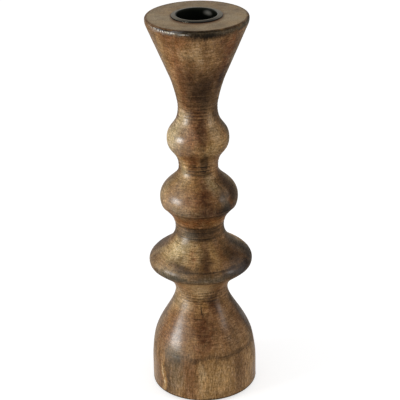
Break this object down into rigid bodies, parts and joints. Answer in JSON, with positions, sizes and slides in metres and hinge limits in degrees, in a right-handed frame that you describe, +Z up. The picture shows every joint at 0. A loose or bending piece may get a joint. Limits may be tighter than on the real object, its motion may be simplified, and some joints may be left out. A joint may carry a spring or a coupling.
{
  "type": "candle holder",
  "caption": "Turned wooden candle holder: trumpet top with a flanged metal cup for a dinner candle, rounded beads, a saucer-shaped disc and a bell-shaped foot on felt pads.",
  "frame": {"origin": "on the table, at the centre of the footprint, under the turning axis", "axes": "+Z up along the turning axis; the holder is round, so +X and +Y only place the felt pads, which lie between them"},
  "size_m": [0.0624, 0.0624, 0.2304],
  "materials": {
    "turned_wood": "brown stained and scorched hardwood with a satin clear coat",
    "black_metal": "black painted steel, satin, worn thin along the rim",
    "felt": "dark pressed felt"
  },
  "bodies": {
    "holder": {"turned_body": "turned_wood", "felt_pad_1": "felt", "felt_pad_2": "felt", "felt_pad_3": "felt", "felt_pad_4": "felt"},
    "cup": {"candle_cup": "black_metal"}
  },
  "joints": [
    {"name": "cup_lift", "type": "slide", "parent": "holder", "child": "cup", "axis": [0, 0, 1], "range_m": [0, 0.03]}
  ]
}
